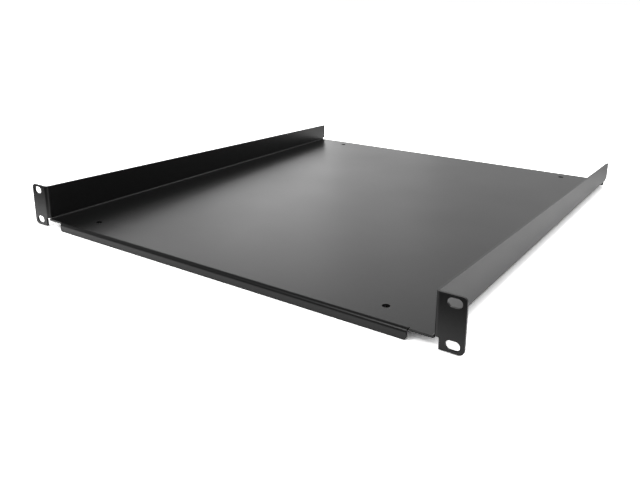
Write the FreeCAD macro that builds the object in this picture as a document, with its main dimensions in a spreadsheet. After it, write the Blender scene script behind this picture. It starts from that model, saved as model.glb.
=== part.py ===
"""Cantilever rack shelf: one sheet of steel, cut flat, punched and folded.

A flat floor is folded up into a tapering wall on each side. The front end of
each wall is folded outwards into a slotted ear, and the floor's front and rear
edges are folded down into stiffening lips.

Frame: millimetres, +X to the shelf's right as its user sees it, +Y towards the
back of the rack, +Z up. The origin lies midway between the four ear slots, on
the ears' rear faces, which are the faces that meet the rack's rails.

The right half is modelled as one body and mirrored.
"""
import FreeCAD, Part
import os
import Sketcher

# Driving dimensions: alias, millimetres, what it measures.
DIMENSIONS = [
    ("sheet", 2.0, "thickness of the steel"),
    ("bend_inside", 1.5, "inside radius of every fold"),
    ("panel_width", 482.6, "over the ears, the 19 inch panel width"),
    ("panel_height", 43.0, "height of an ear, one rack unit less its clearance"),
    ("panel_corner", 4.0, "radius of an ear's outer corners"),
    ("slot_pitch_across", 465.1, "between the slots of the two ears"),
    ("slot_pitch_up", 31.75, "between the two slots of one ear"),
    ("slot_length", 11.0, "end to end"),
    ("slot_width", 7.2, "for an M6 rack screw"),
    ("body_width", 439.7, "over the two walls"),
    ("rear_depth", 506.0, "from the rails to the rear lip's outer face"),
    ("floor_drop", 13.1, "from the middle of an ear down to the floor's top"),
    ("wall_rear_rise", 22.1, "height of a wall above the floor at its rear end"),
    ("wall_corner", 1.5, "radius of a wall's rear corners"),
    ("tab_gap", 2.4, "from a wall's outer face to the ear's lower tab"),
    ("ear_relief_rise", 0.4, "from the floor's top up to the foot of the ear's fold"),
    ("side_cut_angle", 38.0, "degrees of the side fold left out in front of the wall"),
    ("floor_setback", 0.8, "from the ears' front faces back to the floor's cut edge"),
    ("front_lip_width", 396.0, "length of the front lip"),
    ("front_lip_drop", 9.0, "height of the front lip, from the floor's top"),
    ("front_lip_proud", 1.2, "from the ears' front faces forward to the lip's face"),
    ("rear_lip_drop", 8.0, "height of the rear lip, from the floor's top"),
    ("rear_lip_gap", 0.6, "from the rear lip's end to a wall's inner face"),
    ("lip_corner", 2.5, "radius of the lips' lower corners"),
    ("slit", 1.0, "width of the relief slit beside each front lip end"),
    ("relief_depth", 0.7, "how far a relief runs past the fold that it frees"),
    ("rear_relief_rise", 2.0, "from the floor's top up to a rear notch's ceiling"),
    ("hole_diameter", 6.4, "holes in the floor"),
    ("hole_pitch_across", 336.0, "between the left and right floor holes"),
    ("hole_pitch_deep", 464.0, "between the front and rear floor holes"),
    ("hole_front", 21.4, "from the rails to the front floor holes"),
]

# Places that several features share, as expressions on the sheet's cells.
BEND_OUTSIDE = "(dims.bend_inside + dims.sheet)"
EAR_FRONT = "(-dims.sheet)"
EAR_EDGE = "(dims.panel_width / 2)"
EAR_TOP = "(dims.panel_height / 2)"
WALL_OUTER = "(dims.body_width / 2)"
WALL_INNER = f"({WALL_OUTER} - dims.sheet)"
FLOOR_TOP = "(-dims.floor_drop)"
FLOOR_UNDER = f"({FLOOR_TOP} - dims.sheet)"
FLOOR_EDGE = f"({EAR_FRONT} + dims.floor_setback)"
SIDE_FOLD_X = f"({WALL_OUTER} - {BEND_OUTSIDE})"
SIDE_FOLD_Z = f"({FLOOR_UNDER} + {BEND_OUTSIDE})"
EAR_FOLD_FOOT = f"({FLOOR_TOP} + dims.ear_relief_rise)"
TAB_INNER = f"({WALL_OUTER} + dims.tab_gap)"
WALL_REAR_TOP = f"({FLOOR_TOP} + dims.wall_rear_rise)"
FRONT_LIP_FACE = f"({EAR_FRONT} - dims.front_lip_proud)"
FRONT_LIP_FOLD = f"({FRONT_LIP_FACE} + {BEND_OUTSIDE})"
FRONT_LIP_FOOT = f"({FLOOR_TOP} - dims.front_lip_drop)"
FRONT_LIP_END = "(dims.front_lip_width / 2)"
REAR_LIP_FOLD = f"(dims.rear_depth - {BEND_OUTSIDE})"
REAR_LIP_FOOT = f"({FLOOR_TOP} - dims.rear_lip_drop)"
REAR_LIP_END = f"({WALL_INNER} - dims.rear_lip_gap)"
REAR_NOTCH_TOP = f"({FLOOR_TOP} + dims.rear_relief_rise)"

# A pad that joins two stretches of sheet laps into the first by one thickness,
# and a cutting outline reaches this far outside the metal.
LAP = "dims.sheet"
CLEAR = "(2 * dims.sheet)"

TINY = 1e-6
ORIGIN_POINT = (-1, 1)
HORIZONTAL_AXIS = -1
VERTICAL_AXIS = -2
START, END, CENTRE = 1, 2, 3


def fill_sheet(document):
    """Write the driving dimensions, one row each: value, alias, meaning."""
    sheet = document.addObject("Spreadsheet::Sheet", "dims")
    for row, (alias, value, meaning) in enumerate(DIMENSIONS, start=1):
        sheet.set(f"A{row}", alias)
        sheet.set(f"B{row}", str(value))
        sheet.set(f"C{row}", meaning)
        sheet.setAlias(f"B{row}", alias)
    document.recompute()


def number(sketch, expression):
    """Value of an expression on the sheet, as a plain number."""
    result = sketch.evalExpression(expression)
    return float(getattr(result, "Value", result))


def new_sketch(body, name, plane_role, offset=None):
    """Sketch on one of the body's origin planes, moved along the plane's normal."""
    sketch = body.newObject("Sketcher::SketchObject", name)
    plane = next(f for f in body.Origin.OriginFeatures if f.Role == plane_role)
    sketch.AttachmentSupport = [(plane, "")]
    sketch.MapMode = "FlatFace"
    if offset:
        sketch.setExpression(".AttachmentOffset.Base.z", offset)
    return sketch


def bind(sketch, constraint, expression):
    """Add a dimensional constraint whose value comes from the sheet."""
    index = sketch.addConstraint(constraint)
    sketch.setExpression(f"Constraints[{index}]", expression)


def place(sketch, kind, geometry, point, expression):
    """Hold a point's x (DistanceX) or y (DistanceY) at an expression's value."""
    value = number(sketch, expression)
    if abs(value) < TINY:
        axis = VERTICAL_AXIS if kind == "DistanceX" else HORIZONTAL_AXIS
        sketch.addConstraint(Sketcher.Constraint("PointOnObject", geometry, point, axis))
    else:
        bind(sketch, Sketcher.Constraint(kind, *ORIGIN_POINT, geometry, point, value), expression)


def add_outline(sketch, corners):
    """Closed outline through corners (x, y) or (x, y, radius), all expressions.

    A corner with a radius becomes an arc tangent to the lines beside it.
    """
    vector = FreeCAD.Vector
    count = len(corners)
    points = [vector(number(sketch, c[0]), number(sketch, c[1]), 0) for c in corners]
    radii = [number(sketch, c[2]) if len(c) == 3 else 0 for c in corners]
    starts, ends = list(points), list(points)
    arcs = {}
    for i, radius in enumerate(radii):
        if not radius:
            continue
        back = (points[i - 1] - points[i]).normalize()
        ahead = (points[(i + 1) % count] - points[i]).normalize()
        turn = back * ahead
        reach = radius * ((1 + turn) / (1 - turn)) ** 0.5
        ends[i] = points[i] + back * reach
        starts[i] = points[i] + ahead * reach
        middle_way = (back + ahead).normalize()
        centre = points[i] + middle_way * (reach ** 2 + radius ** 2) ** 0.5
        arcs[i] = Part.Arc(ends[i], centre - middle_way * radius, starts[i])
    lines = []
    for i in range(count):
        following = (i + 1) % count
        lines.append(sketch.addGeometry(Part.LineSegment(starts[i], ends[following]), False))
    join_corners(sketch, lines, arcs, radii, corners)
    hold_lines(sketch, lines, points, corners)


def join_corners(sketch, lines, arcs, radii, corners):
    """Join each line to the next, through a tangent arc where there is one."""
    for i, line in enumerate(lines):
        before = lines[i - 1]
        if i not in arcs:
            sketch.addConstraint(Sketcher.Constraint("Coincident", before, END, line, START))
            continue
        arc = sketch.addGeometry(arcs[i], False)
        gap = sketch.getPoint(before, END).distanceToPoint(sketch.getPoint(arc, START))
        first, last = (START, END) if gap < TINY else (END, START)
        sketch.addConstraint(Sketcher.Constraint("Tangent", before, END, arc, first))
        sketch.addConstraint(Sketcher.Constraint("Tangent", arc, last, line, START))
        bind(sketch, Sketcher.Constraint("Radius", arc, radii[i]), corners[i][2])


def hold_lines(sketch, lines, points, corners):
    """Fix each upright or level line by its own place, each slanted one by its ends."""
    count = len(lines)
    kinds = []
    for i in range(count):
        step = points[(i + 1) % count] - points[i]
        kinds.append("Vertical" if abs(step.x) < TINY else "Horizontal" if abs(step.y) < TINY else "Slanted")
    for i, line in enumerate(lines):
        following = (i + 1) % count
        if kinds[i] == "Vertical":
            sketch.addConstraint(Sketcher.Constraint("Vertical", line))
            place(sketch, "DistanceX", line, START, corners[i][0])
        elif kinds[i] == "Horizontal":
            sketch.addConstraint(Sketcher.Constraint("Horizontal", line))
            place(sketch, "DistanceY", line, START, corners[i][1])
        else:
            for point, corner, neighbour in ((START, i, kinds[i - 1]), (END, following, kinds[following])):
                if neighbour == "Vertical":
                    place(sketch, "DistanceY", line, point, corners[corner][1])
                elif neighbour == "Horizontal":
                    place(sketch, "DistanceX", line, point, corners[corner][0])


def add_slot(sketch, middle_x, middle_y):
    """Level obround: two half circles joined by two level lines."""
    vector = FreeCAD.Vector
    reach_expression = "((dims.slot_length - dims.slot_width) / 2)"
    x, y = number(sketch, middle_x), number(sketch, middle_y)
    radius = number(sketch, "dims.slot_width / 2")
    reach = number(sketch, reach_expression)
    ends = []
    for side in (1, -1):
        centre = vector(x + side * reach, y, 0)
        lower, tip, upper = (centre + vector(dx, dy, 0) for dx, dy in ((0, -radius), (side * radius, 0), (0, radius)))
        ends.append(sketch.addGeometry(Part.Arc(lower, tip, upper), False))
    right, left = ends
    top = sketch.addGeometry(Part.LineSegment(vector(x + reach, y + radius, 0), vector(x - reach, y + radius, 0)), False)
    base = sketch.addGeometry(Part.LineSegment(vector(x - reach, y - radius, 0), vector(x + reach, y - radius, 0)), False)
    for line, point, arc, height in (
        (top, START, right, radius), (top, END, left, radius),
        (base, START, left, -radius), (base, END, right, -radius),
    ):
        at_start = abs(sketch.getPoint(arc, START).y - (y + height)) < TINY
        sketch.addConstraint(Sketcher.Constraint("Tangent", line, point, arc, START if at_start else END))
    sketch.addConstraint(Sketcher.Constraint("Horizontal", top))
    sketch.addConstraint(Sketcher.Constraint("Equal", right, left))
    bind(sketch, Sketcher.Constraint("Radius", right, radius), "dims.slot_width / 2")
    place(sketch, "DistanceX", right, CENTRE, f"{middle_x} + {reach_expression}")
    place(sketch, "DistanceX", left, CENTRE, f"{middle_x} - {reach_expression}")
    place(sketch, "DistanceY", right, CENTRE, middle_y)


def add_circle(sketch, middle_x, middle_y, diameter):
    """Circle by its centre and its diameter."""
    centre = FreeCAD.Vector(number(sketch, middle_x), number(sketch, middle_y), 0)
    circle = sketch.addGeometry(
        Part.Circle(centre, FreeCAD.Vector(0, 0, 1), number(sketch, diameter) / 2), False)
    place(sketch, "DistanceX", circle, CENTRE, middle_x)
    place(sketch, "DistanceY", circle, CENTRE, middle_y)
    bind(sketch, Sketcher.Constraint("Diameter", circle, number(sketch, diameter)), diameter)


def extrude(body, kind, name, sketch, length=None, reverse=False):
    """Pad or Pocket from a sketch; with no length it runs through all.

    The volume has to grow or shrink, so a cut that misses the metal stops here.
    """
    before = body.Shape.Volume if body.Tip else 0
    feature = body.newObject(f"PartDesign::{kind}", name)
    feature.Profile = sketch
    feature.Reversed = reverse
    if length:
        feature.setExpression("Length", length)
    else:
        feature.Type = "ThroughAll"
    body.Document.recompute()
    change = body.Shape.Volume - before
    if (change <= TINY) if kind == "Pad" else (change >= -TINY):
        raise RuntimeError(f"{name} left the volume as it was")
    return feature


def build_channel(body):
    """Half of the floor, its side fold and the wall, at full height."""
    sketch = new_sketch(body, "channel_section", "XZ_Plane", f"-{FLOOR_EDGE}")
    add_outline(sketch, [
        ("0", FLOOR_UNDER),
        (WALL_OUTER, FLOOR_UNDER, BEND_OUTSIDE),
        (WALL_OUTER, EAR_TOP),
        (WALL_INNER, EAR_TOP),
        (WALL_INNER, FLOOR_TOP, "dims.bend_inside"),
        ("0", FLOOR_TOP),
    ])
    extrude(body, "Pad", "channel", sketch, f"dims.rear_depth - {FLOOR_EDGE}", reverse=True)


def side_fold_wedge():
    """Two corners of a cut square to the side fold: its axis, and a point beyond."""
    reach = f"({BEND_OUTSIDE} + {CLEAR})"
    beyond = f"({SIDE_FOLD_X} + {reach})"
    return (SIDE_FOLD_X, SIDE_FOLD_Z), (beyond, f"{SIDE_FOLD_Z} - {reach} * tan(dims.side_cut_angle)")


def cut_front_corner(body):
    """Stop the wall short where the ear folds, and run a strip of side fold on.

    The strip is cut square to the sheet, so its edge points at the fold's axis.
    """
    axis, beyond = side_fold_wedge()
    above = f"({EAR_TOP} + {CLEAR})"
    sketch = new_sketch(body, "front_corner_cut", "XZ_Plane", f"-{FLOOR_EDGE}")
    add_outline(sketch, [axis, beyond, (beyond[0], above), (SIDE_FOLD_X, above)])
    extrude(body, "Pocket", "front_corner", sketch, f"dims.bend_inside - {FLOOR_EDGE}")


def build_ear(body):
    """Fold the wall's front end outwards into the ear, and add its lower tab.

    A relief at the foot of the wall keeps the ear's fold and the side fold apart.
    """
    root = "(dims.bend_inside + dims.relief_depth)"
    plan = new_sketch(body, "ear_plan", "XY_Plane", EAR_FOLD_FOOT)
    add_outline(plan, [
        (WALL_INNER, root),
        (WALL_INNER, EAR_FRONT, BEND_OUTSIDE),
        (EAR_EDGE, EAR_FRONT),
        (EAR_EDGE, "0"),
        (WALL_OUTER, "0", "dims.bend_inside"),
        (WALL_OUTER, root),
    ])
    extrude(body, "Pad", "ear", plan, f"{EAR_TOP} - {EAR_FOLD_FOOT}")

    axis, beyond = side_fold_wedge()
    relief = new_sketch(body, "ear_relief_cut", "XZ_Plane", "-dims.bend_inside")
    add_outline(relief, [axis, beyond, (beyond[0], SIDE_FOLD_Z)])
    extrude(body, "Pocket", "ear_relief", relief, "dims.relief_depth")

    face = new_sketch(body, "tab_face", "XZ_Plane")
    add_outline(face, [
        (TAB_INNER, f"-{EAR_TOP}"),
        (EAR_EDGE, f"-{EAR_TOP}"),
        (EAR_EDGE, f"{EAR_FOLD_FOOT} + {LAP}"),
        (TAB_INNER, f"{EAR_FOLD_FOOT} + {LAP}"),
    ])
    extrude(body, "Pad", "ear_tab", face, "dims.sheet")

    slots = new_sketch(body, "slot_faces", "XZ_Plane")
    for height in ("dims.slot_pitch_up / 2", "-dims.slot_pitch_up / 2"):
        add_slot(slots, "dims.slot_pitch_across / 2", height)
    extrude(body, "Pocket", "ear_slots", slots, reverse=True)


def taper_wall(body):
    """Slope the wall's top edge down from the ear to the rear end."""
    sketch = new_sketch(body, "taper_side", "YZ_Plane")
    add_outline(sketch, [
        ("dims.bend_inside", EAR_TOP),
        ("dims.rear_depth", WALL_REAR_TOP),
        ("dims.rear_depth", EAR_TOP),
    ])
    extrude(body, "Pocket", "wall_taper", sketch, reverse=True)


def fold_front_lip(body):
    """Cut the floor back to the lip's fold, with a slit at its end, and fold it down."""
    cut = new_sketch(body, "front_lip_cut", "XY_Plane", EAR_FOLD_FOOT)
    slit_end = f"({FRONT_LIP_END} + dims.slit)"
    slit_back = f"({FRONT_LIP_FOLD} + dims.relief_depth)"
    add_outline(cut, [
        ("0", f"{FRONT_LIP_FACE} - {CLEAR}"),
        (slit_end, f"{FRONT_LIP_FACE} - {CLEAR}"),
        (slit_end, slit_back),
        (FRONT_LIP_END, slit_back),
        (FRONT_LIP_END, FRONT_LIP_FOLD),
        ("0", FRONT_LIP_FOLD),
    ])
    extrude(body, "Pocket", "front_lip_clearance", cut)

    section = new_sketch(body, "front_lip_section", "YZ_Plane")
    add_outline(section, [
        (f"{FRONT_LIP_FOLD} + {LAP}", FLOOR_TOP),
        (FRONT_LIP_FACE, FLOOR_TOP, BEND_OUTSIDE),
        (FRONT_LIP_FACE, FRONT_LIP_FOOT),
        (f"{FRONT_LIP_FACE} + dims.sheet", FRONT_LIP_FOOT),
        (f"{FRONT_LIP_FACE} + dims.sheet", FLOOR_UNDER, "dims.bend_inside"),
        (f"{FRONT_LIP_FOLD} + {LAP}", FLOOR_UNDER),
    ])
    extrude(body, "Pad", "front_lip", section, FRONT_LIP_END)


def fold_rear_lip(body):
    """Cut the floor and the side fold back at the rear, and fold the lip down."""
    cut = new_sketch(body, "rear_lip_cut", "XY_Plane", REAR_NOTCH_TOP)
    outside = f"({WALL_OUTER} + {CLEAR})"
    beyond = f"(dims.rear_depth + {CLEAR})"
    add_outline(cut, [
        ("0", REAR_LIP_FOLD),
        (outside, REAR_LIP_FOLD),
        (outside, beyond),
        ("0", beyond),
    ])
    extrude(body, "Pocket", "rear_lip_clearance", cut)

    section = new_sketch(body, "rear_lip_section", "YZ_Plane")
    add_outline(section, [
        (f"{REAR_LIP_FOLD} - dims.relief_depth", FLOOR_TOP),
        ("dims.rear_depth", FLOOR_TOP, BEND_OUTSIDE),
        ("dims.rear_depth", REAR_LIP_FOOT),
        ("dims.rear_depth - dims.sheet", REAR_LIP_FOOT),
        ("dims.rear_depth - dims.sheet", FLOOR_UNDER, "dims.bend_inside"),
        (f"{REAR_LIP_FOLD} - dims.relief_depth", FLOOR_UNDER),
    ])
    extrude(body, "Pad", "rear_lip", section, REAR_LIP_END)

    slit = new_sketch(body, "rear_slit_cut", "XY_Plane", REAR_NOTCH_TOP)
    add_outline(slit, [
        (SIDE_FOLD_X, f"{REAR_LIP_FOLD} - dims.relief_depth"),
        (outside, f"{REAR_LIP_FOLD} - dims.relief_depth"),
        (outside, REAR_LIP_FOLD),
        (SIDE_FOLD_X, REAR_LIP_FOLD),
    ])
    extrude(body, "Pocket", "rear_slit", slit)


def punch_floor(body):
    """Front and rear hole of the floor."""
    sketch = new_sketch(body, "floor_holes_plan", "XY_Plane")
    for depth in ("dims.hole_front", "dims.hole_front + dims.hole_pitch_deep"):
        add_circle(sketch, "dims.hole_pitch_across / 2", depth, "dims.hole_diameter")
    extrude(body, "Pocket", "floor_holes", sketch)


def round_corners(body, name, direction, places, radius):
    """Fillet the straight edges that run along a direction through given places.

    A place is a pair of expressions: the edge's two coordinates other than the
    one along its direction, in X, Y, Z order.
    """
    base = body.Tip
    across = [axis for axis in "xyz" if axis != direction]
    wanted = [tuple(number(base, expression) for expression in place_) for place_ in places]
    names = []
    for index, edge in enumerate(base.Shape.Edges, start=1):
        middle = edge.CenterOfMass
        box = edge.BoundBox
        straight = all(getattr(box, f"{axis.upper()}Length") < TINY * 10 for axis in across)
        here = tuple(getattr(middle, axis) for axis in across)
        if straight and any(max(abs(a - b) for a, b in zip(here, spot)) < 1e-4 for spot in wanted):
            names.append(f"Edge{index}")
    if len(names) != len(wanted):
        raise RuntimeError(f"{name}: found {len(names)} of {len(wanted)} corners")
    fillet = body.newObject("PartDesign::Fillet", name)
    fillet.Base = (base, names)
    fillet.setExpression("Radius", radius)
    body.Document.recompute()


def soften_corners(body):
    """Round the outline's free corners, as the punch leaves them."""
    round_corners(body, "ear_corners", "y", [(EAR_EDGE, EAR_TOP), (EAR_EDGE, f"-{EAR_TOP}")],
                  "dims.panel_corner")
    round_corners(body, "lip_corners", "y", [(FRONT_LIP_END, FRONT_LIP_FOOT), (REAR_LIP_END, REAR_LIP_FOOT)],
                  "dims.lip_corner")
    round_corners(body, "wall_corners", "x", [("dims.rear_depth", WALL_REAR_TOP), ("dims.rear_depth", REAR_NOTCH_TOP)],
                  "dims.wall_corner")


def mirror_half(body):
    """Add the left half, as the right half's mirror image."""
    half = body.Tip
    volume = half.Shape.Volume
    mirrored = body.newObject("PartDesign::Mirrored", "both_halves")
    mirrored.TransformMode = "Whole shape"
    plane = next(f for f in body.Origin.OriginFeatures if f.Role == "YZ_Plane")
    mirrored.MirrorPlane = (plane, [""])
    body.Tip = mirrored
    body.Document.recompute()
    if abs(body.Shape.Volume - 2 * volume) > TINY * volume:
        raise RuntimeError("the mirrored half is missing")


def build_shelf_pan(document):
    """The whole shelf: one folded sheet."""
    body = document.addObject("PartDesign::Body", "shelf_pan")
    body.Label = "shelf_pan"
    document.recompute()
    build_channel(body)
    cut_front_corner(body)
    build_ear(body)
    taper_wall(body)
    fold_front_lip(body)
    fold_rear_lip(body)
    punch_floor(body)
    soften_corners(body)
    mirror_half(body)
    body.Placement = FreeCAD.Placement()
    return body


def check(document, parts):
    """Stop on any failed object, and on any part that isn't one valid solid."""
    for item in document.Objects:
        if "Invalid" in item.State or "Error" in item.State:
            raise RuntimeError(f"{item.Name} failed: {item.State}")
        if item.TypeId == "Sketcher::SketchObject" and not item.FullyConstrained:
            raise RuntimeError(f"{item.Name} isn't fully constrained")
    for part in parts:
        if part.Shape.isNull() or not part.Shape.isValid() or len(part.Shape.Solids) != 1:
            raise RuntimeError(f"{part.Label} isn't one valid solid")


def main():
    document = FreeCAD.newDocument("rack_shelf")
    fill_sheet(document)
    parts = [build_shelf_pan(document)]
    document.recompute()
    check(document, parts)
    os.makedirs("parts", exist_ok=True)
    for part in parts:
        part.Shape.exportStep(f"parts/{part.Label}.step")
        print(part.Label, "volume", round(part.Shape.Volume), "box", part.Shape.BoundBox)


main()
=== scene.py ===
"""Black cantilever shelf for a 19 inch rack, folded from one sheet of steel."""
import math

import bpy
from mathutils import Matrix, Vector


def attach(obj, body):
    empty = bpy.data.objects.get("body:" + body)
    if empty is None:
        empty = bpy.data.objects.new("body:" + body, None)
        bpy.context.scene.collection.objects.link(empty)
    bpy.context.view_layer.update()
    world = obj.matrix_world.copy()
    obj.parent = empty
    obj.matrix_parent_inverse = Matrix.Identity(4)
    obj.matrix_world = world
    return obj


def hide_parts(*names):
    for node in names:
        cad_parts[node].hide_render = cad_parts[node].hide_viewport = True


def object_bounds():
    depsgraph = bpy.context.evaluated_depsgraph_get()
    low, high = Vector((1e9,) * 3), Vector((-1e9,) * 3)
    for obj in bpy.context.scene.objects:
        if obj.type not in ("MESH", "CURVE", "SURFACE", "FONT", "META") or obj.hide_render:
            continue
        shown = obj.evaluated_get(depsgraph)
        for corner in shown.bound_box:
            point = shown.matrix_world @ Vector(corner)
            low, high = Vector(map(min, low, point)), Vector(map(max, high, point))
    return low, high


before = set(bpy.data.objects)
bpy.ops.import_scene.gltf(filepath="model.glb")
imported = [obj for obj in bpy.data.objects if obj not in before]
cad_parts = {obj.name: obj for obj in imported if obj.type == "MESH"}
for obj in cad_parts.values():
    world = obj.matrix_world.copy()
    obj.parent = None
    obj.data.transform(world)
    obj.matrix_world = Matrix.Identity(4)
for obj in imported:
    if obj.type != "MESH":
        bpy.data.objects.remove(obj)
cad_box = [list(corner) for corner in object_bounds()]


# --- Shelf pan -----------------------------------------------------------------------
# One sheet of 2 mm steel: laser cut flat, its arrises broken in the deburring machine,
# then folded. The visible pan is the same sheet with those arrises rounded off.
ARRIS = 0.0004
FOLD_STEP = math.radians(35)

bpy.ops.object.select_all(action="DESELECT")
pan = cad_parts["shelf_pan"].copy()
pan.data = pan.data.copy()
pan.name = pan.data.name = "folded_pan"
bpy.context.scene.collection.objects.link(pan)
pan.select_set(True)
bpy.context.view_layer.objects.active = pan

bpy.ops.object.mode_set(mode="EDIT")
bpy.ops.mesh.select_all(action="SELECT")
bpy.ops.mesh.remove_doubles(threshold=1e-6)
bpy.ops.mesh.customdata_custom_splitnormals_clear()
bpy.ops.mesh.dissolve_limited(angle_limit=math.radians(0.5))
bpy.ops.object.mode_set(mode="OBJECT")

arris = pan.modifiers.new("arris", "BEVEL")
arris.width = ARRIS
arris.segments = 3
arris.limit_method = "ANGLE"
arris.angle_limit = FOLD_STEP
arris.use_clamp_overlap = True
bpy.ops.object.modifier_apply(modifier="arris")
bpy.ops.object.shade_smooth_by_angle(angle=FOLD_STEP)

weighted = pan.modifiers.new("flat faces stay flat", "WEIGHTED_NORMAL")
weighted.keep_sharp = True
bpy.ops.object.modifier_apply(modifier="flat faces stay flat")

# Black polyester powder coat, baked on: a satin film with a faint orange peel, and under
# it the fine grit of the powder. It is as even on the folds as on the flats.
coat = bpy.data.materials.new("powder_coat_black")
coat.use_nodes = True
nodes, links = coat.node_tree.nodes, coat.node_tree.links
skin = nodes["Principled BSDF"]
skin.inputs["Metallic"].default_value = 0.0
skin.inputs["IOR"].default_value = 1.6

place = nodes.new("ShaderNodeTexCoord")

peel = nodes.new("ShaderNodeTexNoise")
peel.inputs["Scale"].default_value = 420.0
peel.inputs["Detail"].default_value = 2.0
links.new(place.outputs["Object"], peel.inputs["Vector"])

grit = nodes.new("ShaderNodeTexNoise")
grit.inputs["Scale"].default_value = 2600.0
grit.inputs["Detail"].default_value = 3.0
links.new(place.outputs["Object"], grit.inputs["Vector"])

film = nodes.new("ShaderNodeMix")
film.data_type = "FLOAT"
film.inputs["Factor"].default_value = 0.35
links.new(peel.outputs["Fac"], film.inputs["A"])
links.new(grit.outputs["Fac"], film.inputs["B"])

relief = nodes.new("ShaderNodeBump")
relief.inputs["Strength"].default_value = 0.55
relief.inputs["Distance"].default_value = 0.00006
links.new(film.outputs["Result"], relief.inputs["Height"])
links.new(relief.outputs["Normal"], skin.inputs["Normal"])

tone = nodes.new("ShaderNodeValToRGB")
tone.color_ramp.elements[0].position = 0.35
tone.color_ramp.elements[0].color = (0.0040, 0.0040, 0.0041, 1.0)
tone.color_ramp.elements[1].position = 0.7
tone.color_ramp.elements[1].color = (0.0052, 0.0052, 0.0053, 1.0)
links.new(film.outputs["Result"], tone.inputs["Fac"])
links.new(tone.outputs["Color"], skin.inputs["Base Color"])

cloud = nodes.new("ShaderNodeTexNoise")
cloud.inputs["Scale"].default_value = 9.0
cloud.inputs["Detail"].default_value = 3.0
links.new(place.outputs["Object"], cloud.inputs["Vector"])

gloss = nodes.new("ShaderNodeMapRange")
gloss.inputs["From Min"].default_value = 0.3
gloss.inputs["From Max"].default_value = 0.7
gloss.inputs["To Min"].default_value = 0.32
gloss.inputs["To Max"].default_value = 0.35
links.new(cloud.outputs["Fac"], gloss.inputs["Value"])
links.new(gloss.outputs["Result"], skin.inputs["Roughness"])

pan.data.materials.clear()
pan.data.materials.append(coat)
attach(pan, "root")
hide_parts("shelf_pan")


# --- Table and studio -----------------------------------------------------------------
# The shelf stands on the lower edges of its two lips, on a plain white table. The eye sees
# the paper over-exposed to a clean white, and only the shelf's own shadow stays on it.
TABLE_TOP = cad_box[0][2] - 0.0001
PAPER = 0.8
EXPOSED_PAPER = 1.5
OVER_EXPOSURE = 1.7

bpy.ops.object.select_all(action="DESELECT")
bpy.ops.mesh.primitive_plane_add(size=40.0, location=(0.0, 0.0, TABLE_TOP))
table = bpy.context.active_object
table.name = "white_table"

paper = bpy.data.materials.new("white_paper")
paper.use_nodes = True
nodes, links = paper.node_tree.nodes, paper.node_tree.links
nodes.clear()
out = nodes.new("ShaderNodeOutputMaterial")
matt = nodes.new("ShaderNodeBsdfDiffuse")
links.new(matt.outputs["BSDF"], out.inputs["Surface"])

rays = nodes.new("ShaderNodeLightPath")
mirrored = nodes.new("ShaderNodeMath")
mirrored.operation = "MAXIMUM"
links.new(rays.outputs["Is Glossy Ray"], mirrored.inputs[0])
links.new(rays.outputs["Is Transmission Ray"], mirrored.inputs[1])
seen = nodes.new("ShaderNodeMath")
seen.operation = "MAXIMUM"
links.new(rays.outputs["Is Camera Ray"], seen.inputs[0])
links.new(mirrored.outputs["Value"], seen.inputs[1])

white = nodes.new("ShaderNodeMapRange")
white.inputs["To Min"].default_value = PAPER
white.inputs["To Max"].default_value = EXPOSED_PAPER
links.new(seen.outputs["Value"], white.inputs["Value"])

# In the gloss the table has a painted pool of light under the shelf: its colour is painted
# brighter there, no lamp lights it. It ends just ahead of the ears, dims behind the rear
# lip, and is painted brighter on the left. Each pair is a depth and a painted brightness.
table_place = nodes.new("ShaderNodeTexCoord")
across = nodes.new("ShaderNodeSeparateXYZ")
links.new(table_place.outputs["Object"], across.inputs["Vector"])
PAINTED_SHEEN = ((-0.075, 0.0), (-0.02, 0.64), (0.05, 1.0), (0.45, 1.0), (0.62, 0.5))
ahead = nodes.new("ShaderNodeMapRange")
ahead.inputs["From Min"].default_value = PAINTED_SHEEN[0][0]
ahead.inputs["From Max"].default_value = PAINTED_SHEEN[-1][0]
links.new(across.outputs["Y"], ahead.inputs["Value"])
# Painted light: the table's colour in the gloss follows this ramp of painted brightness by
# depth.
painted_pool = nodes.new("ShaderNodeValToRGB")
painted_pool.color_ramp.elements[0].color = (0.0, 0.0, 0.0, 1.0)
painted_pool.color_ramp.elements[1].color = (PAINTED_SHEEN[-1][1],) * 3 + (1.0,)
for depth, share in PAINTED_SHEEN[1:-1]:
    stop = painted_pool.color_ramp.elements.new((depth - PAINTED_SHEEN[0][0]) / (PAINTED_SHEEN[-1][0] - PAINTED_SHEEN[0][0]))
    stop.color = (share, share, share, 1.0)
links.new(ahead.outputs["Result"], painted_pool.inputs["Fac"])
# Painted light: the table's colour in the gloss is painted brighter towards the left.
painted_left_light = nodes.new("ShaderNodeMapRange")
painted_left_light.inputs["From Min"].default_value = -0.28
painted_left_light.inputs["From Max"].default_value = 0.05
painted_left_light.inputs["To Min"].default_value = 1.4
painted_left_light.inputs["To Max"].default_value = 0.88
links.new(across.outputs["X"], painted_left_light.inputs["Value"])
# The painted pool of light: the painted brightness by depth times the painted brightness by
# side.
painted_pool_light = nodes.new("ShaderNodeMath")
painted_pool_light.operation = "MULTIPLY"
links.new(painted_pool.outputs["Color"], painted_pool_light.inputs[0])
links.new(painted_left_light.outputs["Result"], painted_pool_light.inputs[1])
gain = nodes.new("ShaderNodeMix")
gain.inputs["A"].default_value = OVER_EXPOSURE
links.new(mirrored.outputs["Value"], gain.inputs["Factor"])
links.new(painted_pool_light.outputs["Value"], gain.inputs["B"])

level = nodes.new("ShaderNodeMath")
level.operation = "MULTIPLY"
links.new(white.outputs["Result"], level.inputs[0])
links.new(gain.outputs["Result"], level.inputs[1])
links.new(level.outputs["Value"], matt.inputs["Color"])
table.data.materials.append(paper)

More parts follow.
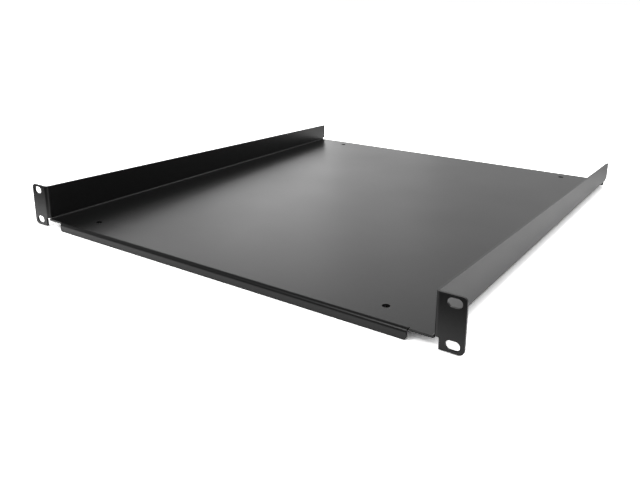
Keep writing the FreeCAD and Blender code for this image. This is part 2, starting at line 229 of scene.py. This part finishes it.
# The room: even light on everything, and white to the eye. In the gloss it is a white
# backdrop behind the shelf and to its left, a weaker one opposite, and a dark ceiling.
BACKDROP_AT = math.radians(43)
world = bpy.data.worlds.new("studio")
bpy.context.scene.world = world
world.use_nodes = True
nodes, links = world.node_tree.nodes, world.node_tree.links
nodes.clear()
out = nodes.new("ShaderNodeOutputWorld")
air = nodes.new("ShaderNodeBackground")
air.inputs["Color"].default_value = (1.0, 1.0, 1.0, 1.0)
links.new(air.outputs["Background"], out.inputs["Surface"])

way = nodes.new("ShaderNodeTexCoord")
height = nodes.new("ShaderNodeSeparateXYZ")
links.new(way.outputs["Generated"], height.inputs["Vector"])
towards = nodes.new("ShaderNodeVectorMath")
towards.operation = "DOT_PRODUCT"
towards.inputs[1].default_value = (-math.sin(BACKDROP_AT), math.cos(BACKDROP_AT), 0.0)
links.new(way.outputs["Generated"], towards.inputs[0])

backdrop = nodes.new("ShaderNodeMapRange")
backdrop.inputs["From Min"].default_value = -0.1
backdrop.inputs["From Max"].default_value = 1.0
links.new(towards.outputs["Value"], backdrop.inputs["Value"])
opposite = nodes.new("ShaderNodeMapRange")
opposite.inputs["From Min"].default_value = -0.6
opposite.inputs["From Max"].default_value = -1.0
opposite.inputs["To Max"].default_value = 0.6
links.new(towards.outputs["Value"], opposite.inputs["Value"])
walls = nodes.new("ShaderNodeMath")
walls.operation = "ADD"
links.new(backdrop.outputs["Result"], walls.inputs[0])
links.new(opposite.outputs["Result"], walls.inputs[1])
low = nodes.new("ShaderNodeMapRange")
low.inputs["From Min"].default_value = 0.42
low.inputs["From Max"].default_value = 0.75
low.inputs["To Min"].default_value = 0.9
low.inputs["To Max"].default_value = 0.04
links.new(height.outputs["Z"], low.inputs["Value"])
room = nodes.new("ShaderNodeMath")
room.operation = "MULTIPLY_ADD"
room.inputs[2].default_value = 0.03
links.new(walls.outputs["Value"], room.inputs[0])
links.new(low.outputs["Result"], room.inputs[1])

rays = nodes.new("ShaderNodeLightPath")
straight = nodes.new("ShaderNodeMath")
straight.operation = "MAXIMUM"
links.new(rays.outputs["Is Camera Ray"], straight.inputs[0])
links.new(rays.outputs["Is Transmission Ray"], straight.inputs[1])
even = nodes.new("ShaderNodeMapRange")
even.inputs["To Min"].default_value = 0.8
even.inputs["To Max"].default_value = 1.0
links.new(straight.outputs["Value"], even.inputs["Value"])
strength = nodes.new("ShaderNodeMix")
links.new(rays.outputs["Is Glossy Ray"], strength.inputs["Factor"])
links.new(even.outputs["Result"], strength.inputs["A"])
links.new(room.outputs["Value"], strength.inputs["B"])
links.new(strength.outputs["Result"], air.inputs["Strength"])

# A row of low softboxes in front of the backdrop puts the sheen on the floor of the shelf,
# strongest in the middle. Two more hang above: one draws the light line along the front
# lip's fold, and the other the line along the left wall's fold.
SOFTBOX_AWAY = 2.45
SOFTBOX_LIFT = 0.5
SOFTBOX_TILT = -79


def hang_softbox(name, wide, high, power, place, turn):
    """Hang a soft rectangular lamp that the camera doesn't see; turn is in degrees."""
    softbox = bpy.data.lights.new(name, "AREA")
    softbox.shape = "RECTANGLE"
    softbox.size = wide
    softbox.size_y = high
    softbox.energy = power
    lamp = bpy.data.objects.new(name, softbox)
    lamp.location = place
    lamp.rotation_euler = [math.radians(angle) for angle in turn]
    lamp.visible_camera = False
    bpy.context.scene.collection.objects.link(lamp)


for name, bearing, wide, strength in (
    ("wide_softbox", 46, 1.3, 1.2),
    ("bright_softbox", 37, 0.5, 0.45),
    ("dim_softbox", 26.5, 0.5, 0.55),
):
    high = 0.6
    east = -SOFTBOX_AWAY * math.sin(math.radians(bearing))
    north = SOFTBOX_AWAY * math.cos(math.radians(bearing))
    hang_softbox(name, wide, high, strength * math.pi * wide * high,
                 (east, north, SOFTBOX_LIFT), (SOFTBOX_TILT, 0, bearing))

hang_softbox("lip_softbox", 0.3, 0.3, 3.2, (-0.30, -0.90, 1.05), (41, 0, -29))
hang_softbox("fold_softbox", 0.35, 1.1, 3.4, (0.20, 1.00, 1.20), (-34, 9, 0))

# Camera: a little above the shelf, from its front right.
eye = bpy.data.cameras.new("eye")
eye.lens = 38.02
eye.sensor_width = 36.0
eye.shift_x = -0.0043
eye.shift_y = -0.0764
eye.clip_start = 0.01
camera = bpy.data.objects.new("eye", eye)
camera.location = (0.3907, -0.3920, 0.2125)
camera.rotation_euler = (math.radians(73.80), math.radians(-0.415), math.radians(34.367))
bpy.context.scene.collection.objects.link(camera)
bpy.context.scene.camera = camera
bpy.context.scene.view_settings.view_transform = "Standard"
